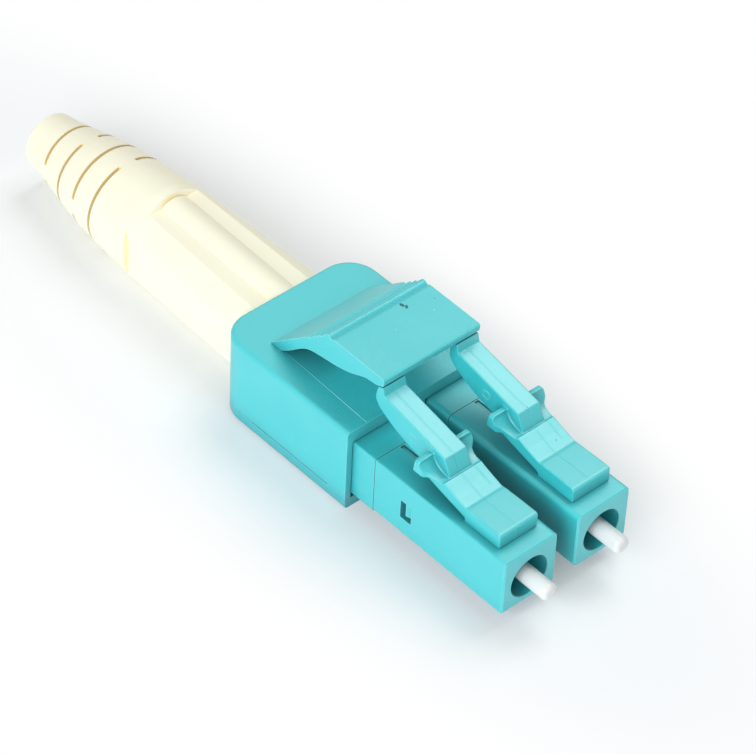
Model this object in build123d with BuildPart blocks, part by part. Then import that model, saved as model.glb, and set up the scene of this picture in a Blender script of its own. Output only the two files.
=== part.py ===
import os

from build123d import *

os.makedirs("parts", exist_ok=True)

# A duplex fibre connector: two small plugs in one housing, with a trigger over their
# latches and one boot for the cable. Lengths in millimetres. Places along the part are
# counted rearward from the front faces of the plugs, heights up from the ferrule axes.

# Driving sizes of the standard plug interface
pitch = 6.25
ferrule_r = 0.625
ferrule_reach = 1.95
bore_r = 1.55

# Clearances
fit_gap = 0.05
seam_gap = 0.06
hinge_gap = 0.03
overrun = 1.0

# Plug shell
plug_half = 2.25
plug_top = 2.44
plug_floor = -1.95
plug_edge_r = 0.40
outer_edge_r = 0.12
front_chamfer = 0.10
bore_depth = 4.60
shoulder = 0.40
shoulder_r = 1.08
chamber_length = 2.95
chamber_r = 1.50
pocket_length = 3.92
pocket_half = 1.75
pocket_edge_r = 0.45
window_inset = 0.47
window_length = 1.00
window_low = -0.64
window_high = 0.82
window_edge_r = 0.08
slot_back = 0.07
slot_length = 1.40
slot_half = 0.19
slot_shift = 0.07
key_half = 0.12
key_shift = 0.10
key_sink = 0.12
mouth_chamfer = 0.05

# Latch and the block that carries it
hinge_y = 4.10
hinge_z = 3.00
knuckle_r = 0.45
block_front = 1.30
block_half = 1.57
block_top = 3.50
block_edge_r = 0.15
block_lip = 0.24
seam_back = 0.10
latch_reach = 9.42
latch_rise = 4.11
pad_half = 0.94
lug_half = 2.25
lug_low = 3.95
lug_top = 5.15
lug_y = 8.05
lug_length = 0.38
lug_edge_r = 0.34
web_length = 1.75
pad_edge_r = 0.08

# Rear body of each plug
collar_length = 3.50
collar_floor = -2.10
nose_edge_r = 0.40
spring_bore_r = 1.42
spring_seat = 12.60
tube_bore_r = 0.78
tab_sink = 0.12
tab_front_gap = 0.09
tab_rear_gap = 0.38
tab_low_gap = 0.28
neck_length = 0.95
neck_half = 1.65
tail_length = 1.60
tail_half = 2.05

# Ferrule, its flange, spring and guide tube
tip_r = 0.32
flange_nose = 0.25
flange_length = 1.65
flange_corner_r = 1.45
flange_tail_length = 2.80
flange_tail_r = 0.80
ferrule_seat = 0.90
guide_r = 0.48
guide_wall = 0.16
guide_seat = 1.60
guide_length = 11.50
spring_wire_r = 0.13
spring_turns = 5

# Housing
housing_front = 13.98
housing_length = 12.79
housing_top = 3.475
housing_drop = 3.22
housing_edge_r = 0.30
rear_corner_r = 2.25
opening_top = 2.52
opening_wall = 0.46
opening_gap = 0.065
centre_gap = 0.135
bay_length = 4.58
bay_wall = 1.05
bay_top = 2.42
rear_wall = 1.20
rib_length = 0.75

# Cover under the housing
seam_z = -2.20
seam_step = 0.22
step_length = 1.67
cover_gap = 0.03
snap_line_gap = 0.07
snap_line_rear = 3.68
skirt_y = 19.60
skirt_length = 4.20
skirt_wall = 0.60
skirt_height = 1.90
snap_proud = 0.20
snap_height = 0.36
cover_rib = 0.60

# Trigger
trigger_y = 22.92
trigger_z = 3.30
foot_r = 0.54
trigger_half = 4.10
trigger_reach = 10.07
trigger_rise = 4.70

# Cable side
cable_z = 0.15
cable_r = 1.50
clamp_r = 1.70
clamp_wall = 0.45
clamp_flange = 0.75
clamp_flange_r = 2.10
clamp_groove = 0.15
groove_pitch = 1.50
groove_count = 2
crimp_wall = 0.45
crimp_start = 0.47
crimp_length = 4.60
crimp_neck_length = 2.40
boot_length = 25.18
boot_front_half = 4.55
boot_front_rise = 3.10
boot_round_length = 12.27
boot_round_r = 3.80
boot_tail_r = 2.05
boot_end_chamfer = 0.25
boot_flat_length = 11.42
boot_flat_front = 2.80
boot_flat_rear = 3.29
boot_rib_half = 1.10
boot_rib_rise = 0.42
boot_side_length = 12.32
boot_side_front = 4.00
boot_side_rear = 3.30
boot_wall_run = 0.15
boot_end_run = 0.70
boot_lift = 0.02
slit_y = 42.96
slit_pitch = 2.02
slit_width = 0.27
slit_bridge = 1.30
slit_count = 4

# The origin is under the middle of the part, on the surface that it stands on
housing_rear = housing_front + housing_length
boot_front = housing_rear + seam_gap
boot_rear = boot_front + boot_length
front_y = ferrule_reach - (boot_rear + ferrule_reach) / 2
axis_z = housing_drop
housing_half = pitch / 2 + plug_half + opening_gap + opening_wall
centre_wall_half = pitch / 2 - plug_half - centre_gap
shell_length = bore_depth + shoulder + chamber_length + pocket_length
window_y = shell_length - pocket_length + window_inset
slot_y = shell_length - slot_back - slot_length
nose_start = bore_depth + shoulder + chamber_length + fit_gap
plugs = {"left": -pitch / 2, "right": pitch / 2}


def side(x):
    """Plane across the part: rearward, then up."""
    return Plane(origin=(x, front_y, axis_z), x_dir=(0, 1, 0), z_dir=(1, 0, 0))


def cross(x, y):
    """Plane facing rearward: across, then up."""
    return Plane(origin=(x, front_y + y, axis_z), x_dir=(-1, 0, 0), z_dir=(0, 1, 0))


def level(z):
    """Plane seen from above: across, then rearward."""
    return Plane(origin=(0, front_y, axis_z + z), x_dir=(1, 0, 0), z_dir=(0, 0, 1))


def outward(x, shift):
    """A place across the part, moved away from the part's middle."""
    return x + shift if x > 0 else x - shift


def lengthwise(x, z):
    """Axis along the part at this place across and this height."""
    return Axis((x, front_y, axis_z + z), (0, 1, 0))


def bar(x, y, length, half, low, high, edge_r=0, mode=Mode.ADD):
    """A straight block from y rearward, with rounded long edges."""
    with BuildSketch(cross(x, y)) as section:
        with Locations((0, (low + high) / 2)):
            Rectangle(2 * half, high - low)
        if edge_r:
            fillet(section.vertices(), edge_r)
    extrude(section.sketch, amount=length, mode=mode)


def plug_block(x, y, length, low):
    """A stretch of a plug's outside; the left plug's outer edges are crisper."""
    outer_r = outer_edge_r if x < 0 else plug_edge_r
    with BuildSketch(cross(x, y)) as section:
        with Locations((0, (low + plug_top) / 2)):
            Rectangle(2 * plug_half, plug_top - low)
        fillet(section.vertices().group_by(Axis.X)[0], plug_edge_r)
        fillet(section.vertices().group_by(Axis.X)[-1], outer_r)
    extrude(section.sketch, amount=length)


def turned(x, y, z, steps, mode=Mode.ADD):
    """A turned form from y rearward; each step is a length and a radius."""
    points = [(y, z)]
    for length, radius in steps:
        points += [(y, z + radius), (y + length, z + radius)]
        y += length
    with BuildSketch(side(x)) as half_section:
        with BuildLine():
            Polyline(*points, (y, z), close=True)
        make_face()
    revolve(half_section.sketch, axis=lengthwise(x, z), mode=mode)


def across(x, y, z, radius, half, mode=Mode.ADD):
    """A round bar that lies across the part."""
    with BuildSketch(side(x - half)) as circle:
        with Locations((y, z)):
            Circle(radius)
    extrude(circle.sketch, amount=2 * half, mode=mode)


def spots(shares, corner, spans):
    """Points at shares of two spans, counted from a corner."""
    return [(corner[0] + a * spans[0], corner[1] + b * spans[1]) for a, b in shares]


def save(piece, name):
    """Label a finished piece and write it under its name."""
    piece.part.label = name
    export_step(piece.part, f"parts/{name}.step")


# Shares of the latch's reach and rise, counted from its hinge
ramp_top_shares = [(0.0, 0.130), (0.045, 0.136), (0.097, 0.173), (0.150, 0.212), (0.200, 0.253),
                   (0.243, 0.292)]
ramp_floor_shares = [(0.254, 0.262), (0.309, 0.276), (0.359, 0.318), (0.397, 0.385), (0.419, 0.460)]
ramp_under_shares = [(0.478, 0.180), (0.435, 0.170), (0.219, 0.034), (0.083, -0.044), (0.036, -0.080)]
web_flare_shares = [(0.0, 0.0), (0.23, 0.13), (0.45, 0.19), (0.62, 0.31), (0.74, 0.46), (0.84, 0.80),
                    (1.0, 1.0)]
pad_front_shares = [(0.245, 0.180), (0.265, 0.280), (0.3216, 0.5596)]
pad_tail_shares = [(0.993, 0.888), (1.0, 0.779), (0.9995, 0.696), (0.989, 0.647), (0.955, 0.557)]
lip_shares = [(0.905, 0.750), (0.917, 0.842), (0.935, 1.0), (0.983, 0.968), (1.0, 0.779)]
arm_under_shares = [(0.955, 0.557), (0.701, 0.285), (0.435, 0.170)]


def shell_part(name, x):
    """Front shell of a plug, with the block that its latch hinges in."""
    with BuildPart() as shell:
        plug_block(x, 0, shell_length, plug_floor)
        chamfer(shell.faces().sort_by(Axis.Y)[0].edges(), front_chamfer)
        chamber_end = bore_depth + shoulder + chamber_length
        turned(
            x,
            0,
            0,
            [(bore_depth, bore_r), (shoulder, shoulder_r), (chamber_length, chamber_r)],
            Mode.SUBTRACT,
        )
        pocket = pocket_length + overrun
        bar(x, chamber_end, pocket, pocket_half, -pocket_half, pocket_half, pocket_edge_r, Mode.SUBTRACT)

        # Side windows that the rear body snaps into, and the key slot in the roof
        with BuildSketch(side(x)) as window:
            with Locations((window_y + window_length / 2, (window_low + window_high) / 2)):
                RectangleRounded(window_length, window_high - window_low, window_edge_r)
        extrude(window.sketch, amount=plug_half + overrun, both=True, mode=Mode.SUBTRACT)
        with BuildSketch(level(0)) as slot:
            with Locations((outward(x, slot_shift), slot_y + slot_length / 2)):
                Rectangle(2 * slot_half, slot_length)
        extrude(slot.sketch, amount=plug_top + overrun, mode=Mode.SUBTRACT)

        # Block under the front of the latch, with the trough for its knuckle
        trough_r = knuckle_r + hinge_gap
        with BuildSketch(side(x - block_half)) as block:
            with BuildLine():
                Polyline(
                    (block_front, plug_top - fit_gap),
                    (block_front, block_top),
                    (hinge_y - seam_back, block_top + fit_gap),
                    (hinge_y - seam_back, hinge_z),
                    (hinge_y + block_lip, hinge_z - trough_r + fit_gap),
                    (hinge_y + block_lip, plug_top - fit_gap),
                    close=True,
                )
            make_face()
            front_corner = block.vertices().group_by(Axis.Y)[0].sort_by(Axis.Z)[-1]
            fillet(front_corner, block_edge_r)
        extrude(block.sketch, amount=2 * block_half)
        across(x, hinge_y, hinge_z, trough_r, block_half + overrun, Mode.SUBTRACT)
        mouth = shell.faces().sort_by(Axis.Y)[0].edges().filter_by(GeomType.CIRCLE).sort_by(SortBy.LENGTH)[-1]
        chamfer(mouth, mouth_chamfer)
    save(shell, f"{name}_plug_shell")


def latch_part(name, x):
    """Latch arm with its ramp, narrow pad, side lugs and hinge knuckle."""
    corner = (hinge_y, hinge_z)
    spans = (latch_reach, latch_rise)
    seam_y = hinge_y - seam_back + hinge_gap
    with BuildPart() as latch:
        # Wide front part: the ramp, and the hollow beside the pad that runs up to the lugs
        with BuildSketch(side(x - lug_half)) as ramp:
            with BuildLine():
                ramp_top = Spline(*spots(ramp_top_shares, corner, spans))
                floor = Spline(*spots(ramp_floor_shares, corner, spans))
                Line(ramp_top @ 1, floor @ 0)
                Polyline(
                    floor @ 1,
                    (lug_y, lug_top),
                    (lug_y + lug_length, lug_top - fit_gap),
                    *spots(ramp_under_shares, corner, spans),
                    (hinge_y, hinge_z),
                    (seam_y, hinge_z),
                    (seam_y, block_top + fit_gap),
                    ramp_top @ 0,
                )
            make_face()
        extrude(ramp.sketch, amount=2 * lug_half)

        # Seen from above it flares out to the lugs, which lock behind the socket's edges
        flare = spots(web_flare_shares, (lug_y - web_length, block_half), (web_length, lug_half - block_half))
        with BuildSketch(level(0)) as above:
            for sign in (-1, 1):
                with BuildLine():
                    edge = Spline(*[(x + sign * half, y) for y, half in flare])
                    Polyline(
                        edge @ 1,
                        (x + sign * lug_half, lug_y + overrun),
                        (x, lug_y + overrun),
                        (x, seam_y - overrun),
                        (x + sign * block_half, seam_y - overrun),
                        edge @ 0,
                    )
                make_face()
        extrude(above.sketch, amount=lug_top + overrun, mode=Mode.INTERSECT)

        # Seen from the front the lugs have round corners
        with BuildSketch(cross(x, 0)) as lugs:
            with Locations((0, (lug_low + lug_top) / 2)):
                Rectangle(2 * lug_half, lug_top - lug_low)
            fillet(lugs.vertices(), lug_edge_r)
            Rectangle(2 * block_half, 2 * (lug_top + overrun))
        extrude(lugs.sketch, amount=lug_y + 2 * overrun, mode=Mode.INTERSECT)
        across(x, hinge_y, hinge_z, knuckle_r, block_half)

        # Narrow pad that runs on as the arm to the lip under the trigger
        with BuildSketch(side(x - pad_half)) as arm:
            with BuildLine():
                front = Polyline(*spots(pad_front_shares, corner, spans))
                rear = Polyline(*spots(pad_tail_shares, corner, spans))
                Line(front @ 1, rear @ 0)
                under = ThreePointArc(*spots(arm_under_shares, corner, spans))
                Line(under @ 1, front @ 0)
            make_face()
        extrude(arm.sketch, amount=2 * pad_half)
        long_edges = latch.edges().filter_by(GeomType.LINE).sort_by(SortBy.LENGTH)
        fillet(long_edges[-2:], pad_edge_r)
        with BuildSketch(side(x - pad_half)) as lip:
            with BuildLine():
                Polyline(*spots(lip_shares, corner, spans), close=True)
            make_face()
        extrude(lip.sketch, amount=2 * pad_half)
    save(latch, f"{name}_latch")


def rear_body_part(name, x):
    """Rear body of a plug: nose in the shell, collar, neck and tail in the housing."""
    collar_y = shell_length + seam_gap
    neck_y = collar_y + collar_length
    tail_y = neck_y + neck_length
    nose_half = pocket_half - fit_gap
    with BuildPart() as body:
        bar(x, nose_start, collar_y - nose_start, nose_half, -nose_half, nose_half, nose_edge_r)
        plug_block(x, collar_y, collar_length, collar_floor)
        bar(x, neck_y, neck_length, neck_half, -neck_half, neck_half, nose_edge_r)
        bar(x, tail_y, tail_length, tail_half, -tail_half + fit_gap, tail_half, nose_edge_r)
        seat = spring_seat - nose_start
        rest = tail_y + tail_length - spring_seat
        turned(x, nose_start, 0, [(seat, spring_bore_r), (rest, tube_bore_r)], Mode.SUBTRACT)

        # Tabs in the side windows, with a sloping front for snapping in
        tab_front = window_y + tab_front_gap
        tab_rear = window_y + window_length - tab_rear_gap
        tab_low = window_low + tab_low_gap
        tab_high = window_high - fit_gap
        tab_out = plug_half - tab_sink
        for sign in (-1, 1):
            with BuildSketch(level(tab_low)) as tab:
                with BuildLine():
                    Polyline(
                        (x + sign * (nose_half - fit_gap), tab_front),
                        (x + sign * (tab_out - tab_sink), tab_front),
                        (x + sign * tab_out, tab_rear - tab_sink),
                        (x + sign * tab_out, tab_rear),
                        (x + sign * (nose_half - fit_gap), tab_rear),
                        close=True,
                    )
                make_face()
            extrude(tab.sketch, amount=tab_high - tab_low)

        # Key that stands in the slot of the shell's roof
        key_length = slot_length - 2 * fit_gap
        key_x = outward(x, key_shift)
        bar(key_x, slot_y + fit_gap, key_length, key_half, nose_half - fit_gap, plug_top - key_sink)
    save(body, f"{name}_rear_body")


flange_y = bore_depth + shoulder + fit_gap
flange_rear = flange_y + flange_length


def ferrule_part(name, x):
    """Ceramic ferrule with its domed tip."""
    length = ferrule_reach + flange_y + ferrule_seat
    with BuildPart() as ferrule:
        turned(x, -ferrule_reach, 0, [(length, ferrule_r)])
        tip = ferrule.edges().filter_by(GeomType.CIRCLE).sort_by(Axis.Y)[0]
        fillet(tip, tip_r)
    save(ferrule, f"{name}_ferrule")


def flange_part(name, x):
    """Flange that holds the ferrule and bears on the spring."""
    with BuildPart() as flange:
        turned(x, flange_y - flange_nose, 0, [(flange_nose, shoulder_r - fit_gap)])
        with BuildSketch(cross(x, flange_y)) as hexagon:
            RegularPolygon(flange_corner_r, 6)
        extrude(hexagon.sketch, amount=flange_length)
        turned(x, flange_rear, 0, [(flange_tail_length, flange_tail_r)])
        ferrule_hole = flange_nose + ferrule_seat
        channel = flange_length + flange_tail_length - ferrule_seat - guide_seat
        steps = [(ferrule_hole, ferrule_r), (channel, guide_r - guide_wall), (guide_seat, guide_r)]
        turned(x, flange_y - flange_nose, 0, steps, Mode.SUBTRACT)
    save(flange, f"{name}_flange")


def guide_part(name, x):
    """Thin tube that leads the fibre from the flange into the housing."""
    guide_y = flange_rear + flange_tail_length - guide_seat
    with BuildPart() as guide:
        turned(x, guide_y, 0, [(guide_length, guide_r)])
        turned(x, guide_y, 0, [(guide_length, guide_r - guide_wall)], Mode.SUBTRACT)
    save(guide, f"{name}_guide_tube")


def spring_part(name, x):
    """Coil spring between the flange and the seat in the rear body."""
    room = spring_seat - flange_rear
    coil_r = (flange_tail_r + spring_bore_r) / 2
    coil_length = room - 2 * spring_wire_r - 2 * hinge_gap
    start = front_y + flange_rear + spring_wire_r + hinge_gap
    with BuildPart() as spring:
        with BuildLine():
            coil_pitch = coil_length / spring_turns
            coil = Helix(coil_pitch, coil_length, coil_r, (x, start, axis_z), (0, 1, 0))
        with BuildSketch(Plane(origin=coil @ 0, z_dir=coil % 0)):
            RegularPolygon(spring_wire_r, 6)
        sweep(path=coil, is_frenet=True)
    save(spring, f"{name}_spring")


for plug_name, plug_x in plugs.items():
    shell_part(plug_name, plug_x)
    latch_part(plug_name, plug_x)
    rear_body_part(plug_name, plug_x)
    ferrule_part(plug_name, plug_x)
    flange_part(plug_name, plug_x)
    guide_part(plug_name, plug_x)
    spring_part(plug_name, plug_x)


def footprint(low, high):
    """The housing's outline from above, between two heights."""
    with BuildSketch(level(low)) as outline:
        with Locations((0, (housing_front + housing_rear) / 2)):
            Rectangle(2 * housing_half, housing_length)
        fillet(outline.vertices().group_by(Axis.Y)[-1], rear_corner_r)
    extrude(outline.sketch, amount=high - low)


bay_y = housing_front + bay_length
bay_half = housing_half - bay_wall
bay_depth = housing_length - bay_length - rear_wall
rib_y = shell_length + seam_gap + collar_length + (neck_length - rib_length) / 2
skirt_half = bay_half - fit_gap
step_y = housing_front + step_length

# Housing: an open-bottomed shell with a bay for each plug and one for the fibres
with BuildPart() as housing:
    footprint(seam_z - seam_step, housing_top)
    crown = housing.faces().sort_by(Axis.Z)[-1].edges()
    fillet(crown.filter_by(lambda e: e.center().Y > front_y + housing_front + fit_gap), housing_edge_r)
    opening_half = housing_half - opening_wall
    bar(0, housing_front - overrun, bay_length + overrun, opening_half, -housing_drop, opening_top,
        mode=Mode.SUBTRACT)
    bar(0, bay_y, bay_depth, bay_half, -housing_drop, bay_top, mode=Mode.SUBTRACT)
    bar(0, step_y, housing_length, housing_half + overrun, seam_z - housing_drop, seam_z, mode=Mode.SUBTRACT)

    # Wall between the plugs, and the rib that stands in their necks
    bar(0, housing_front, bay_length, centre_wall_half, seam_z, opening_top)
    bar(0, rib_y, rib_length, opening_half, seam_z, opening_top)
    for plug_x in plugs.values():
        neck_room = neck_half + fit_gap
        bar(plug_x, rib_y, rib_length, neck_room, seam_z - overrun, neck_room, mode=Mode.SUBTRACT)

    # Grooves that the cover snaps into, the cable hole and the trough for the trigger
    groove_low = seam_z + skirt_height - snap_height - fit_gap
    groove_high = seam_z + skirt_height + fit_gap
    bar(0, skirt_y - fit_gap, skirt_length + 2 * fit_gap, bay_half + snap_proud, groove_low, groove_high,
        mode=Mode.SUBTRACT)
    turned(0, housing_rear - rear_wall - overrun, cable_z, [(rear_wall + 2 * overrun, clamp_r + fit_gap)],
           Mode.SUBTRACT)
    across(0, trigger_y, trigger_z, foot_r + hinge_gap, trigger_half + hinge_gap, Mode.SUBTRACT)
save(housing, "housing")

# The clamp's flange stands against the housing's rear wall, and the ring goes round its tube
clamp_y = housing_rear - rear_wall - clamp_flange - fit_gap
crimp_y = housing_rear + crimp_start
clamp_length = crimp_y + crimp_length - fit_gap - clamp_y
crimp_bore_r = clamp_r + fit_gap
neck_bore_r = cable_r + fit_gap
crimp_r = crimp_bore_r + crimp_wall

# Cover: the floor under the housing, with skirts that snap inside its walls
cover_top = seam_z - cover_gap
with BuildPart() as cover:
    footprint(-housing_drop, cover_top)
    base = cover.faces().sort_by(Axis.Z)[0].edges()
    fillet(base.filter_by(lambda e: e.center().Y > front_y + housing_front + fit_gap), housing_edge_r)
    bar(0, housing_front - overrun, step_length + overrun, housing_half + overrun,
        cover_top - seam_step, cover_top + overrun, mode=Mode.SUBTRACT)
    rim_low = seam_z - snap_line_gap
    rim_length = housing_rear - snap_line_rear - step_y
    for sign in (-1, 1):
        bar(sign * housing_half, step_y, rim_length, opening_wall, rim_low, cover_top + overrun,
            mode=Mode.SUBTRACT)
    skirt_top = seam_z + skirt_height
    for sign in (-1, 1):
        with BuildSketch(cross(0, skirt_y)) as skirt:
            with BuildLine():
                Polyline(
                    (sign * (skirt_half - skirt_wall), cover_top - fit_gap),
                    (sign * skirt_half, cover_top - fit_gap),
                    (sign * skirt_half, skirt_top - snap_height),
                    (sign * (skirt_half + snap_proud), skirt_top - snap_height),
                    (sign * skirt_half, skirt_top),
                    (sign * (skirt_half - skirt_wall), skirt_top),
                    close=True,
                )
            make_face()
        extrude(skirt.sketch, amount=skirt_length)

    # Rib in front of the cable clamp, which holds it against the rear wall
    bar(0, clamp_y - fit_gap - cover_rib, cover_rib, skirt_half - skirt_wall - fit_gap,
        cover_top - fit_gap, cable_z - clamp_r)
save(cover, "bottom_cover")

# Shares of the trigger's reach and rise, counted forward and up from its foot
trigger_slope_shares = [(0.045, 0.053), (-0.033, 0.085), (0.267, 0.630), (0.296, 0.681)]
trigger_stair_shares = [(0.314, 0.681), (0.350, 0.779), (0.369, 0.781), (0.401, 0.870), (0.422, 0.877),
                        (0.437, 0.928)]
trigger_crest_shares = [(0.437, 0.928), (0.456, 0.972), (0.479, 0.998), (0.497, 0.985)]
trigger_plate_shares = [(0.497, 0.985), (0.513, 0.955), (0.529, 0.979), (0.545, 0.986), (0.780, 0.979),
                        (0.990, 0.972), (1.0, 0.957), (1.003, 0.930), (0.996, 0.847), (0.969, 0.823)]
trigger_lip_shares = [(0.969, 0.823), (0.937, 0.794), (0.877, 0.781)]
trigger_under_shares = [(0.877, 0.781), (0.810, 0.747), (0.749, 0.687), (0.582, 0.572), (0.393, 0.508),
                        (0.299, 0.457), (0.149, 0.211), (0.045, 0.053)]

# Trigger: a sloping lever on a rolled foot, with a stair of grip ridges and a flat thumb plate
with BuildPart() as trigger:
    foot = (trigger_y, trigger_z)
    spans = (-trigger_reach, trigger_rise)
    across(0, trigger_y, trigger_z, foot_r, trigger_half)
    with BuildSketch(side(-trigger_half)) as lever:
        with BuildLine():
            Polyline(*spots(trigger_slope_shares + trigger_stair_shares, foot, spans))
            Spline(*spots(trigger_crest_shares, foot, spans))
            Polyline(*spots(trigger_plate_shares, foot, spans))
            Polyline(*spots(trigger_lip_shares, foot, spans))
            Spline(*spots(trigger_under_shares, foot, spans))
        make_face()
    extrude(lever.sketch, amount=2 * trigger_half)
save(trigger, "trigger")

# Cable clamp: a flanged tube that the cable's strength fibres are crimped on
with BuildPart() as clamp:
    turned(0, clamp_y, cable_z, [(clamp_flange, clamp_flange_r), (clamp_length - clamp_flange, clamp_r)])
    turned(0, clamp_y, cable_z, [(clamp_length, clamp_r - clamp_wall)], Mode.SUBTRACT)
    for groove in range(groove_count):
        with BuildSketch(side(0)) as notch:
            with Locations((crimp_y + (groove + 1) * groove_pitch, cable_z + clamp_r)):
                Rectangle(clamp_groove, 2 * clamp_groove)
        revolve(notch.sketch, axis=lengthwise(0, cable_z), mode=Mode.SUBTRACT)
save(clamp, "cable_clamp")

# Crimp ring round the clamp and the end of the cable's jacket
with BuildPart() as crimp:
    outside = [(crimp_length, crimp_r), (crimp_neck_length, neck_bore_r + crimp_wall)]
    inside = [(crimp_length, crimp_bore_r), (crimp_neck_length, neck_bore_r)]
    turned(0, crimp_y, cable_z, outside)
    turned(0, crimp_y, cable_z, inside, Mode.SUBTRACT)
save(crimp, "crimp_ring")

# Shares of the boot's tail length, and of its taper down to the tail's end
boot_tail_shares = [(0.0, 0.0), (0.333, 0.18), (0.55, 0.377), (0.744, 0.674), (0.98, 0.97)]

# Boot: a soft sleeve, oval at the housing and round from its middle on, that tapers to
# the cable, with flats cut on top and sides, a rib along the top and slits to bend at
with BuildPart() as boot:
    round_y = boot_front + boot_round_length
    with BuildSketch(cross(0, boot_front)) as oval:
        with Locations((0, cable_z)):
            Ellipse(boot_front_half, boot_front_rise)
    with BuildSketch(cross(0, round_y)) as circle:
        with Locations((0, cable_z)):
            Circle(boot_round_r)
    loft([oval.sketch, circle.sketch])
    tail_run = boot_length - boot_round_length
    tail_drop = boot_tail_r - boot_round_r
    with BuildSketch(side(0)) as tail:
        with BuildLine():
            outline = Spline(*spots(boot_tail_shares, (round_y, cable_z + boot_round_r), (tail_run, tail_drop)))
            Polyline(
                outline @ 1,
                (boot_rear, cable_z + boot_tail_r - boot_end_chamfer),
                (boot_rear, cable_z),
                (round_y, cable_z),
                outline @ 0,
            )
        make_face()
    revolve(tail.sketch, axis=lengthwise(0, cable_z))

    # Flat on top, cut back from the front to a low wall, then the rounded rib along it
    flat_rear = boot_front + boot_flat_length
    boot_crown = cable_z + boot_round_r + overrun
    boot_side = boot_front_half + overrun
    with BuildSketch(side(-boot_side)) as flat:
        with BuildLine():
            Polyline(
                (boot_front - overrun, boot_flat_front),
                (boot_front, boot_flat_front),
                (flat_rear, boot_flat_rear),
                (flat_rear + boot_end_run, boot_crown),
                (boot_front - overrun, boot_crown),
                close=True,
            )
        make_face()
    extrude(flat.sketch, amount=2 * boot_side, mode=Mode.SUBTRACT)
    rib_r = (boot_rib_half**2 + boot_rib_rise**2) / (2 * boot_rib_rise)
    flat_run = Vector(0, boot_flat_length, boot_flat_rear - boot_flat_front)
    rib_plane = Plane(
        origin=(0, front_y + boot_front, axis_z + boot_flat_front), x_dir=(1, 0, 0), z_dir=flat_run.normalized()
    )
    with BuildSketch(rib_plane) as rib:
        with Locations((0, rib_r - boot_rib_rise)):
            Circle(rib_r)
    extrude(rib.sketch, amount=flat_run.length)
    bar(0, boot_front - overrun, overrun, boot_side, -boot_side, boot_crown, mode=Mode.SUBTRACT)

    # Flats on both sides, a little longer
    side_rear = boot_front + boot_side_length
    for sign in (-1, 1):
        with BuildSketch(level(-boot_side)) as cheek:
            with BuildLine():
                Polyline(
                    (sign * boot_side_front, boot_front - overrun),
                    (sign * boot_side_front, boot_front),
                    (sign * boot_side_rear, side_rear),
                    (sign * boot_side, side_rear + boot_wall_run),
                    (sign * boot_side, boot_front - overrun),
                    close=True,
                )
            make_face()
        extrude(cheek.sketch, amount=2 * boot_side, mode=Mode.SUBTRACT)

    # Bores for the crimp ring and the cable, and the flat along the underside
    ring_room = crimp_start + crimp_length + crimp_neck_length + fit_gap - seam_gap
    steps = [(ring_room, crimp_r + fit_gap), (boot_length - ring_room, neck_bore_r)]
    turned(0, boot_front, cable_z, steps, Mode.SUBTRACT)
    bar(0, boot_front - overrun, boot_length + 2 * overrun, boot_side,
        -housing_drop - boot_side, -housing_drop + boot_lift, mode=Mode.SUBTRACT)
    for slit in range(slit_count):
        with BuildSketch(cross(0, slit_y + slit * slit_pitch)) as gap:
            with Locations((0, cable_z)):
                Circle(boot_round_r)
                Rectangle(slit_bridge, 2 * boot_round_r, rotation=90 * (slit % 2), mode=Mode.SUBTRACT)
        extrude(gap.sketch, amount=slit_width, mode=Mode.SUBTRACT)
save(boot, "boot")
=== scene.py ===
import math
import random

import bmesh
import bpy
from mathutils import Matrix, Vector


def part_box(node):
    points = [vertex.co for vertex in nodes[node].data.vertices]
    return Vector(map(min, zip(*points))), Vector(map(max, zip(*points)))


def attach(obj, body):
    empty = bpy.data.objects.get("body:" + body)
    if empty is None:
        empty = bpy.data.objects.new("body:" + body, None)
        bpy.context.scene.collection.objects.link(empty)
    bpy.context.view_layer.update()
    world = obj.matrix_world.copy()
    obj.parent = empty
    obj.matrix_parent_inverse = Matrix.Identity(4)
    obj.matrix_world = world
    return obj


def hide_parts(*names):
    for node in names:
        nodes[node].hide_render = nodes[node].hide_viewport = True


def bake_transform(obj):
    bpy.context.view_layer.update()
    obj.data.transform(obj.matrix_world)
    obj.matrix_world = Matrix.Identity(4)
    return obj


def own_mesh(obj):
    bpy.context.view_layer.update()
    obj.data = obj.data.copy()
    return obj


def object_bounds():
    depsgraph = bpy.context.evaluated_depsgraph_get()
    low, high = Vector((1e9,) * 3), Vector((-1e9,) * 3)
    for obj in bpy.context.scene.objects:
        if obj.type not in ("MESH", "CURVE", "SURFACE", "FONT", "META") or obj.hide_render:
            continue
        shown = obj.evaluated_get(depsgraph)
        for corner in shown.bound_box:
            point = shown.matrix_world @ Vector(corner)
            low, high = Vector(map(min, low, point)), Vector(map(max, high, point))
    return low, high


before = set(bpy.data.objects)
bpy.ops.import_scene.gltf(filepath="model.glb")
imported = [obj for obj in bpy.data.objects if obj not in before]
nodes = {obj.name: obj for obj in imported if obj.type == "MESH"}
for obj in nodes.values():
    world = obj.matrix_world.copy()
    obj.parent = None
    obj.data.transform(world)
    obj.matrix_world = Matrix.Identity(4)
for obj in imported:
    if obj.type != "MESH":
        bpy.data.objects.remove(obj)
cad_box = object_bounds()

# Lengths are in metres. Places along the part are counted rearward from the front
# faces of the plugs, and heights up from the axes of the ferrules, as on the drawing.
mm = 0.001
ferrule_reach = 1.95 * mm
pitch = 6.25 * mm
plugs = {"left": -pitch / 2, "right": pitch / 2}
front_y = cad_box[0].y + ferrule_reach
axis_z = (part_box("left_ferrule")[0].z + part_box("left_ferrule")[1].z) / 2

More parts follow.
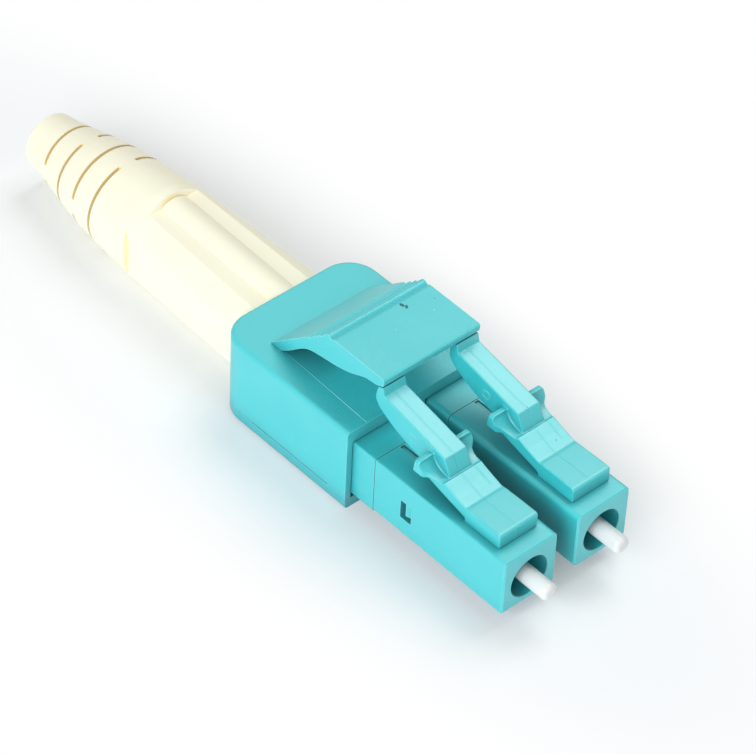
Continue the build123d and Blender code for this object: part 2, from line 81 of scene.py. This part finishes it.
# Camera, as fitted to the photograph's edges. It sees from clip_factor times nearer than
# the part to clip_factor times further.
view_azimuth = math.radians(-43.973)
view_elevation = math.radians(43.267)
view_roll = math.radians(3.011)
view_distance = 227.019 * mm
view_across = 11.686 * mm
view_up = -10.944 * mm
sensor = 36.0
focal_pixels = 3648.426
picture_width = 756
clip_factor = 100

# Soft lights, which point at a place lights_aim rearward of the plugs' faces
lights = [
    {
        "name": "key", "direction": (0.5, 0.08, 0.85), "distance": 0.35, "size": 0.22,
        "power": 0.54, "colour": (1, 1, 0.97),
    },
    {
        "name": "fill", "direction": (-1, -0.35, 0.55), "distance": 0.45, "size": 0.34,
        "power": 1.8, "colour": (0.94, 0.97, 1),
    },
]
lights_aim = 15 * mm

# The world is white to the camera, world_in_gloss in gloss and world_light on the part
white = (1, 1, 1, 1)
world_light = 0.27
world_in_gloss = 0.65

# Floor. It turns plain white from fade_start to fade_end away from the part's middle
# line, past its shadow. Along the part the distance counts for less, as the part is long.
floor_half = 0.6
floor_colour = (0.96, 0.98, 1, 1)
floor_whiteness = 0.2
floor_in_gloss = 0.3
fade_start = 8.5 * mm
fade_end = 17 * mm
fade_lengthwise = 0.3

# The curve between written colours and the colours of the scene
colour_steps = 255
toe_end = 0.04045
toe_slope = 12.92
curve_offset = 0.055
curve_power = 2.4

# Plastics. A painted shade deepens the colour in hollows, as the share of open sky within
# painted_shade_reach goes from hollow_light down to hollow_dark. A painted highlight
# lightens the colour along outer edges within edge_highlight_reach, as the rounded and the
# flat normal's agreement goes from edge_highlight_none down to edge_highlight_full.
painted_shade_reach = 2.4 * mm
hollow_dark, hollow_light = 0.3, 0.9
painted_shade_samples = 8
edge_highlight_reach = 0.08 * mm
edge_highlight_none, edge_highlight_full = 0.99, 0.82
edge_highlight_samples = 6
cloud_scale = 350
cloud_detail = 3
grain_detail = 4
grain_roughness = 0.6
grain_strength = 0.6
roughness_spread = 0.05
sheen_roughness = 0.5

# Gloss of a plastic: index of refraction, specular level and sheen
plain_gloss = (1.5, 0.5, 0.0)
boot_gloss = (1.5, 0.5, 0.08)
aqua_gloss = (1.58, 1.0, 0.15)

# Metals: fine lines round the long axis, from a noise that is drawn out across it
metal_line = 0.1 * mm
metal_line_depth = 0.005 * mm
metal_line_strength = 0.5
metal_stretch = (0.05, 1, 0.05)
metal_darker = 0.85

# Edge rounding that shows as thin bright lines where a moulding's faces meet
edge_round = {
    "housing": 0.07 * mm,
    "bottom_cover": 0.06 * mm,
    "trigger": 0.09 * mm,
    "left_plug_shell": 0.09 * mm,
    "right_plug_shell": 0.09 * mm,
    "left_latch": 0.06 * mm,
    "right_latch": 0.06 * mm,
    "left_rear_body": 0.04 * mm,
    "right_rear_body": 0.04 * mm,
    "boot": 0.08 * mm,
}
edge_segments = 3
edge_angle = math.radians(25)

# Side outline of the block that the latch grows out of, in mm, with its half width:
# from its front foot over its top and down to the foot behind, just proud of the plug
# shell's own
latch_root = [
    (1.25, 2.45, 1.61), (1.25, 3.40, 1.61), (1.29, 3.50, 1.61), (1.38, 3.555, 1.61),
    (2.60, 3.566, 1.61), (3.80, 3.572, 1.61), (4.15, 3.572, 1.59), (4.45, 3.53, 1.57),
    (4.75, 3.25, 1.56), (4.62, 2.86, 1.56), (4.47, 2.72, 1.57), (4.40, 2.60, 1.60),
    (4.38, 2.45, 1.61),
]
# The latch and its block are joined and softened on a mesh in mm
latch_voxel = 0.045
soften_factor = 0.5
soften_rounds = 4

# The plain ring on the left side of each latch's pad, which is pad_half from its middle
ring_centre = (10.0 * mm, 4.9 * mm)
ring_radius = 0.33 * mm
ring_tube = 0.04 * mm
ring_rise = 0.8
ring_steps = 40
ring_tube_steps = 8
pad_half = 0.94 * mm

# Parting lines on the latches: across from the latch's middle, from and to along it.
# They are pressed only into faces that point up or forward.
parting_lines = [(-0.12 * mm, 1.2 * mm, 13.2 * mm), (0.99 * mm, 4.9 * mm, 6.7 * mm)]
parting_half = 0.075 * mm
parting_depth = 0.02 * mm
parting_facing = 0.5

# Mould lines on the housing's roof: the places of their ends across and along
roof_line_ends = ((4.25 * mm, 14.05 * mm), (3.94 * mm, 22.2 * mm))
roof_line_height = 3.475 * mm
roof_line_radius = 0.022 * mm
line_sides = 8

# Specks of dirt and dust: the place, length and turn of each
trigger_dirt = [
    ((1.40 * mm, 17.25 * mm, 7.935 * mm), 0.42 * mm, 0.2),
    ((1.52 * mm, 16.95 * mm, 7.930 * mm), 0.34 * mm, -0.7),
    ((3.45 * mm, 16.40 * mm, 7.920 * mm), 0.10 * mm, 0.4),
]
trigger_dust = [
    ((-0.41 * mm, 15.80 * mm, 7.912 * mm), 0.12 * mm, 0.5),
    ((2.68 * mm, 15.63 * mm, 7.909 * mm), 0.14 * mm, 1.2),
]
right_latch_dirt = [
    ((2.69 * mm, 6.54 * mm, 4.10 * mm), 0.10 * mm, 0.0),
    ((3.66 * mm, 5.06 * mm, 3.73 * mm), 0.12 * mm, 0.9),
    ((3.09 * mm, 7.26 * mm, 5.33 * mm), 0.11 * mm, 0.3),
]
speck_seed = 7
speck_rounds = 2
speck_least, speck_most = 0.85, 1.1
speck_width = 0.55
speck_height = 0.2


def place(x, y, z):
    """A point of the part: across, rearward of the plugs' faces, above the ferrules."""
    return Vector((x, front_y + y, axis_z + z))


def linear(r, g, b):
    """Scene colour of a colour written in the usual 0 to 255 steps."""
    colour = []
    for channel in (r, g, b):
        level = channel / colour_steps
        if level <= toe_end:
            colour.append(level / toe_slope)
        else:
            colour.append(((level + curve_offset) / (1 + curve_offset)) ** curve_power)
    return colour + [1]


def add_object(name, data):
    """A new object of the scene."""
    piece = bpy.data.objects.new(name, data)
    bpy.context.scene.collection.objects.link(piece)
    return piece


def smooth(mesh):
    """Shades all faces of a mesh smooth."""
    for face in mesh.polygons:
        face.use_smooth = True


def add_camera():
    """Puts the camera where the photograph was taken from."""
    forward = Vector((
        -math.sin(view_azimuth) * math.cos(view_elevation),
        math.cos(view_azimuth) * math.cos(view_elevation),
        -math.sin(view_elevation),
    ))
    level_right = forward.cross(Vector((0, 0, 1))).normalized()
    level_up = level_right.cross(forward)
    right = math.cos(view_roll) * level_right + math.sin(view_roll) * level_up
    up = -math.sin(view_roll) * level_right + math.cos(view_roll) * level_up
    eye = place(0, 0, 0) - view_across * right - view_up * up - view_distance * forward
    data = bpy.data.cameras.new("camera")
    data.sensor_width = sensor
    data.lens = focal_pixels / picture_width * sensor
    data.clip_start = view_distance / clip_factor
    data.clip_end = view_distance * clip_factor
    camera = add_object("camera", data)
    turn = Matrix((right, up, -forward)).transposed()
    camera.matrix_world = Matrix.Translation(eye) @ turn.to_4x4()
    bpy.context.scene.camera = camera


def add_softbox(name, direction, distance, size, power, colour):
    """A square soft light that points at the middle of the part."""
    middle = place(0, lights_aim, 0)
    data = bpy.data.lights.new(name, "AREA")
    data.shape = "SQUARE"
    data.size = size
    data.energy = power
    data.color = colour
    light = add_object(name, data)
    light.location = middle + Vector(direction).normalized() * distance
    light.rotation_mode = "QUATERNION"
    light.rotation_quaternion = (middle - light.location).to_track_quat("-Z", "Y")


def set_inputs(tree, node, inputs):
    """Sets a node's inputs, and links those that are given another node's output."""
    for socket, value in inputs.items():
        if isinstance(value, bpy.types.NodeSocket):
            tree.links.new(value, node.inputs[socket])
        else:
            node.inputs[socket].default_value = value


def add_node(tree, kind, inputs, **settings):
    """A shader node with its settings and inputs."""
    node = tree.nodes.new(f"ShaderNode{kind}")
    for name, value in settings.items():
        setattr(node, name, value)
    set_inputs(tree, node, inputs)
    return node


def add_ramp(tree, value, start, end, low, high, **settings):
    """Socket that goes from low to high while the value goes from start to end."""
    inputs = {
        "Value": value, "From Min": start, "From Max": end, "To Min": low, "To Max": high,
    }
    return add_node(tree, "MapRange", inputs, **settings).outputs["Result"]


def add_blend(tree, first, second, share):
    """Socket with the mix of two colours."""
    inputs = {"A": first, "B": second, "Factor": share}
    return add_node(tree, "Mix", inputs, data_type="RGBA").outputs["Result"]


def add_product(tree, first, second):
    """Socket with the product of two values."""
    return add_node(tree, "Math", {0: first, 1: second}, operation="MULTIPLY").outputs[0]


def seen_directly(tree, glossy_share):
    """Socket that is 1 for what the camera sees, also through clear matter.

    In gloss it is the given share.
    """
    path = add_node(tree, "LightPath", {})
    gloss = add_product(tree, path.outputs["Is Glossy Ray"], glossy_share)
    value = path.outputs["Is Camera Ray"]
    for ray in (gloss, path.outputs["Is Transmission Ray"]):
        value = add_node(tree, "Math", {0: value, 1: ray}, operation="MAXIMUM").outputs[0]
    return value


def add_world():
    """White to the camera and paler in gloss, with a plain even fill on the part."""
    world = bpy.data.worlds.new("studio")
    bpy.context.scene.world = world
    world.use_nodes = True
    tree = world.node_tree
    seen = seen_directly(tree, world_in_gloss)
    set_inputs(tree, tree.nodes["Background"], {
        "Color": white,
        "Strength": add_ramp(tree, seen, 0, 1, world_light, 1),
    })


def add_material(name):
    """A new material and its node tree."""
    material = bpy.data.materials.new(name)
    material.use_nodes = True
    return material, material.node_tree


def add_floor():
    """A pale floor that keeps the part's shadow and is white to the camera."""
    material, tree = add_material("floor")
    tree.nodes.clear()
    paint = add_node(tree, "BsdfDiffuse", {"Color": floor_colour})
    glow = add_node(tree, "Emission", {"Color": white})
    spot = add_node(tree, "TexCoord", {}).outputs["Object"]
    shorten = add_node(tree, "Mapping", {"Scale": (1, fade_lengthwise, 1), "Vector": spot})
    away = add_node(tree, "VectorMath", {0: shorten.outputs["Vector"]}, operation="LENGTH")
    fade = add_ramp(
        tree, away.outputs["Value"], fade_start, fade_end, floor_whiteness, 1,
        interpolation_type="SMOOTHSTEP",
    )
    share = add_product(tree, seen_directly(tree, floor_in_gloss), fade)
    both = add_node(tree, "MixShader", {
        "Fac": share, 1: paint.outputs[0], 2: glow.outputs[0],
    })
    add_node(tree, "OutputMaterial", {"Surface": both.outputs[0]})
    mesh = bpy.data.meshes.new("floor")
    corners = [
        (across * floor_half, along * floor_half, 0)
        for across, along in ((-1, -1), (1, -1), (1, 1), (-1, 1))
    ]
    mesh.from_pydata(corners, [], [(0, 1, 2, 3)])
    mesh.materials.append(material)
    add_object("floor", mesh)


def painted_edge_highlight(tree, open_share):
    """Socket of the painted highlight: 1 along outer edges and 0 on flat faces and in
    hollows.
    """
    rounded = add_node(tree, "Bevel", {"Radius": edge_highlight_reach}, samples=edge_highlight_samples)
    flat = add_node(tree, "NewGeometry", {})
    agree = add_node(
        tree, "VectorMath", {0: rounded.outputs["Normal"], 1: flat.outputs["Normal"]},
        operation="DOT_PRODUCT",
    )
    turned = add_ramp(tree, agree.outputs["Value"], edge_highlight_none, edge_highlight_full, 0, 1)
    return add_product(tree, turned, open_share)


def moulded(name, colours, roughness, grain_size, grain_depth,
            gloss=plain_gloss, reach=painted_shade_reach, edge=None):
    """Moulded plastic, faintly clouded and with a fine pressed grain.

    The colours are its own, its clouds' and the painted shade in its hollows, and
    edge is the painted highlight along its outer edges.
    """
    colour, clouded, hollow = colours
    ior, specular, sheen = gloss
    material, tree = add_material(name)
    spot = add_node(tree, "TexCoord", {}).outputs["Object"]
    cloud = add_node(tree, "TexNoise", {
        "Scale": cloud_scale, "Detail": cloud_detail, "Vector": spot,
    }).outputs["Fac"]
    sky = add_node(
        tree, "AmbientOcclusion", {"Distance": reach}, samples=painted_shade_samples,
    ).outputs["AO"]
    # Painted shade: the colour deepens towards the hollow colour where little open sky lies
    # within reach
    open_share = add_ramp(tree, sky, hollow_dark, hollow_light, 0, 1)
    body = add_blend(tree, hollow, add_blend(tree, colour, clouded, cloud), open_share)
    grain = add_node(tree, "TexNoise", {
        "Scale": 1 / grain_size, "Detail": grain_detail, "Roughness": grain_roughness,
        "Vector": spot,
    }).outputs["Fac"]
    bump = add_node(tree, "Bump", {
        "Distance": grain_depth, "Strength": grain_strength, "Height": grain,
    })
    set_inputs(tree, tree.nodes["Principled BSDF"], {
        # Painted highlight: outer edges take the lighter edge colour
        "Base Color": add_blend(tree, body, edge or colour, painted_edge_highlight(tree, open_share)),
        "Normal": bump.outputs["Normal"],
        "Roughness": add_ramp(
            tree, cloud, 0, 1, roughness - roughness_spread, roughness + roughness_spread,
        ),
        "IOR": ior,
        "Specular IOR Level": specular,
        "Sheen Weight": sheen,
        "Sheen Roughness": sheen_roughness,
    })
    return material


def metal(name, colour, roughness):
    """Turned or drawn metal with fine lines round its axis."""
    material, tree = add_material(name)
    spot = add_node(tree, "TexCoord", {}).outputs["Object"]
    stretch = add_node(tree, "Mapping", {"Scale": metal_stretch, "Vector": spot})
    lines = add_node(tree, "TexNoise", {
        "Scale": 1 / metal_line, "Vector": stretch.outputs["Vector"],
    }).outputs["Fac"]
    darker = [channel * metal_darker for channel in colour[:3]] + [1]
    bump = add_node(tree, "Bump", {
        "Distance": metal_line_depth, "Strength": metal_line_strength, "Height": lines,
    })
    set_inputs(tree, tree.nodes["Principled BSDF"], {
        "Metallic": 1,
        "Base Color": add_blend(tree, colour, darker, lines),
        "Normal": bump.outputs["Normal"],
        "Roughness": roughness,
    })
    return material


# Each set of colours is the plastic's own, its clouds' and the painted shade in its hollows;
# the boot's yellow third colour is painted shade in its slits
aqua = linear(58, 206, 211)
aqua_colours = (aqua, linear(44, 200, 206), linear(0, 136, 144))
# Lighter aqua painted along outer edges as a highlight
aqua_edge_highlight = linear(150, 240, 242)
boot_colours = (linear(254, 252, 231), linear(253, 248, 219), linear(250, 224, 150))
ceramic_colours = (linear(238, 239, 238), linear(232, 234, 233), linear(214, 220, 220))
tube_colours = (linear(232, 232, 226), linear(225, 225, 218), linear(210, 210, 200))
# The housing's mould lines are real raised ridges; their lighter colour is a painted
# highlight
line_highlight_colours = (linear(150, 228, 230), linear(130, 222, 226), aqua)
dirt_colours = (linear(58, 118, 120), linear(44, 104, 108), linear(30, 84, 88))
dust_colours = (linear(196, 240, 240), linear(170, 232, 234), linear(120, 205, 208))

housing_plastic = moulded(
    "housing_plastic", aqua_colours, roughness=0.46, grain_size=0.12 * mm,
    grain_depth=0.035 * mm, gloss=aqua_gloss, edge=aqua_edge_highlight,
)
plug_plastic = moulded(
    "plug_plastic", aqua_colours, roughness=0.4, grain_size=0.1 * mm,
    grain_depth=0.022 * mm, gloss=aqua_gloss, edge=aqua_edge_highlight,
)
latch_plastic = moulded(
    "latch_plastic", aqua_colours, roughness=0.36, grain_size=0.1 * mm,
    grain_depth=0.018 * mm, gloss=aqua_gloss, edge=aqua_edge_highlight,
)
boot_rubber = moulded(
    "boot_rubber", boot_colours, roughness=0.6, grain_size=0.1 * mm,
    grain_depth=0.006 * mm, gloss=boot_gloss, reach=0.5 * mm,
)
ceramic = moulded(
    "ferrule_ceramic", ceramic_colours, roughness=0.15, grain_size=0.3 * mm,
    grain_depth=0.0005 * mm,
)
tube_plastic = moulded(
    "tube_plastic", tube_colours, roughness=0.4, grain_size=0.1 * mm,
    grain_depth=0.002 * mm,
)
# Painted highlight on the raised mould lines
line_highlight_plastic = moulded(
    "mould_line_plastic", line_highlight_colours, roughness=0.35, grain_size=0.08 * mm,
    grain_depth=0.003 * mm,
)
dirt = moulded(
    "dirt", dirt_colours, roughness=0.7, grain_size=0.05 * mm, grain_depth=0.01 * mm,
)
dust = moulded(
    "dust", dust_colours, roughness=0.6, grain_size=0.05 * mm, grain_depth=0.01 * mm,
)
turned_metal = metal("turned_metal", linear(200, 200, 198), roughness=0.3)
spring_steel = metal("spring_steel", linear(170, 170, 170), roughness=0.3)
crimp_metal = metal("crimp_metal", linear(210, 210, 210), roughness=0.35)

finishes = {
    "housing": housing_plastic,
    "bottom_cover": housing_plastic,
    "trigger": housing_plastic,
    "boot": boot_rubber,
    "cable_clamp": turned_metal,
    "crimp_ring": crimp_metal,
}
for side in plugs:
    finishes[f"{side}_plug_shell"] = plug_plastic
    finishes[f"{side}_latch"] = latch_plastic
    finishes[f"{side}_rear_body"] = plug_plastic
    finishes[f"{side}_ferrule"] = ceramic
    finishes[f"{side}_flange"] = turned_metal
    finishes[f"{side}_guide_tube"] = tube_plastic
    finishes[f"{side}_spring"] = spring_steel


def dress(node, material):
    """Gives a piece of the frame its finish and, where it is moulded, soft edges."""
    piece = nodes[node]
    piece.data.materials.clear()
    piece.data.materials.append(material)
    smooth(piece.data)
    if node in edge_round:
        bevel = piece.modifiers.new("edges", "BEVEL")
        bevel.width = edge_round[node]
        bevel.segments = edge_segments
        bevel.limit_method = "ANGLE"
        bevel.angle_limit = edge_angle
        bevel.harden_normals = False
    normals = piece.modifiers.new("normals", "WEIGHTED_NORMAL")
    normals.keep_sharp = True


def closed_strip(form, sides):
    """Faces of a closed solid between two outlines of matching points."""
    first, second = sides
    count = len(first)
    form.faces.new(first)
    form.faces.new(list(reversed(second)))
    for i in range(count):
        j = (i + 1) % count
        form.faces.new((first[j], first[i], second[i], second[j]))


def add_ring(form, x):
    """A raised ring that stands half out of the face at x."""
    rows = []
    for i in range(ring_steps):
        turn = 2 * math.pi * i / ring_steps
        row = []
        for j in range(ring_tube_steps):
            tilt = 2 * math.pi * j / ring_tube_steps
            reach = ring_radius + ring_tube * math.cos(tilt)
            row.append(form.verts.new(place(
                x + ring_rise * ring_tube * math.sin(tilt),
                ring_centre[0] + reach * math.cos(turn),
                ring_centre[1] + reach * math.sin(turn),
            )))
        rows.append(row)
    for i in range(ring_steps):
        for j in range(ring_tube_steps):
            k, m = (i + 1) % ring_steps, (j + 1) % ring_tube_steps
            form.faces.new((rows[i][j], rows[k][j], rows[k][m], rows[i][m]))


def press_parting_lines(form, x):
    """Shallow grooves where the halves of the latch's mould met."""
    for vertex in form.verts:
        along = vertex.co.y - front_y
        for across, start, end in parting_lines:
            off = abs(vertex.co.x - x - across) / parting_half
            facing = vertex.normal.z - vertex.normal.y
            if off < 1 and start < along < end and facing > parting_facing:
                vertex.co -= parting_depth * (1 - off) * vertex.normal


def latch_moulding(side, x):
    """One latch with the block under its root, as the single moulding that they are."""
    name = f"{side}_latch_moulding"
    form = bmesh.new()
    form.from_mesh(nodes[f"{side}_latch"].data)
    root = [
        [
            form.verts.new(place(x + sign * half * mm, y * mm, z * mm))
            for y, z, half in latch_root
        ]
        for sign in (-1, 1)
    ]
    closed_strip(form, root)
    bmesh.ops.recalc_face_normals(form, faces=form.faces)
    bmesh.ops.scale(form, vec=(1 / mm,) * 3, verts=form.verts)
    rough = bpy.data.meshes.new(name)
    form.to_mesh(rough)
    form.free()
    piece = add_object(name, rough)
    union = piece.modifiers.new("union", "REMESH")
    union.mode = "VOXEL"
    union.voxel_size = latch_voxel
    soften = piece.modifiers.new("soften", "SMOOTH")
    soften.factor = soften_factor
    soften.iterations = soften_rounds
    evaluated = piece.evaluated_get(bpy.context.evaluated_depsgraph_get())
    final = bpy.data.meshes.new_from_object(evaluated)
    piece.modifiers.clear()
    final.transform(Matrix.Scale(mm, 4))
    form = bmesh.new()
    form.from_mesh(final)
    press_parting_lines(form, x)
    add_ring(form, x - pad_half)
    form.to_mesh(final)
    form.free()
    final.name = name
    final.materials.clear()
    final.materials.append(latch_plastic)
    smooth(final)
    piece.data = final
    bpy.data.meshes.remove(rough)
    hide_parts(f"{side}_latch")
    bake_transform(piece)


def add_spring(side):
    """A copy of the spring, which rides with the connector."""
    node = f"{side}_spring"
    piece = add_object(f"{node}_coil", nodes[node].data.copy())
    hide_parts(node)
    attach(piece, "connector")
    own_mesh(piece)


def add_detail(name, body, material, build):
    """A small piece of the given body, filled by a function that gets its mesh."""
    form = bmesh.new()
    build(form)
    bmesh.ops.recalc_face_normals(form, faces=form.faces)
    mesh = bpy.data.meshes.new(name)
    form.to_mesh(mesh)
    form.free()
    smooth(mesh)
    mesh.materials.append(material)
    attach(add_object(name, mesh), body)


def thin_line(form, start, end, radius):
    """A straight raised line that is half sunk in the face that it lies on."""
    along = (end - start).normalized()
    aside = along.cross(Vector((0, 0, 1))).normalized()
    up = aside.cross(along)
    turns = [2 * math.pi * i / line_sides for i in range(line_sides)]
    ring = [radius * (math.cos(turn) * aside + math.sin(turn) * up) for turn in turns]
    closed_strip(form, [
        [form.verts.new(point + spoke) for spoke in ring] for point in (start, end)
    ])


def mould_lines(form):
    """The lines along the housing's top, inside its two long edges."""
    for sign in (-1, 1):
        start, end = [
            place(sign * across, along, roof_line_height) for across, along in roof_line_ends
        ]
        thin_line(form, start, end, roof_line_radius)


def specks(places):
    """Builder of small low grains, each at a place with its length and its turn."""
    def build(form):
        chance = random.Random(speck_seed)
        for centre, length, turn in places:
            ball = bmesh.ops.create_icosphere(
                form, subdivisions=speck_rounds, radius=length / 2,
            )
            for vertex in ball["verts"]:
                vertex.co *= chance.uniform(speck_least, speck_most)
                vertex.co.x *= speck_width
                vertex.co.z *= speck_height
                vertex.co = Matrix.Rotation(turn, 3, "Z") @ vertex.co + place(*centre)
    return build


for node, material in finishes.items():
    dress(node, material)
for side, x in plugs.items():
    latch_moulding(side, x)
for side, x in plugs.items():
    add_spring(side)
add_detail("housing_mould_lines", "connector", line_highlight_plastic, mould_lines)
add_detail("trigger_dirt", "trigger_lever", dirt, specks(trigger_dirt))
add_detail("trigger_dust", "trigger_lever", dust, specks(trigger_dust))
add_detail("right_latch_dirt", "right_latch_arm", dirt, specks(right_latch_dirt))

add_camera()
add_world()
for light in lights:
    add_softbox(**light)
add_floor()
bpy.context.scene.view_settings.view_transform = "Standard"
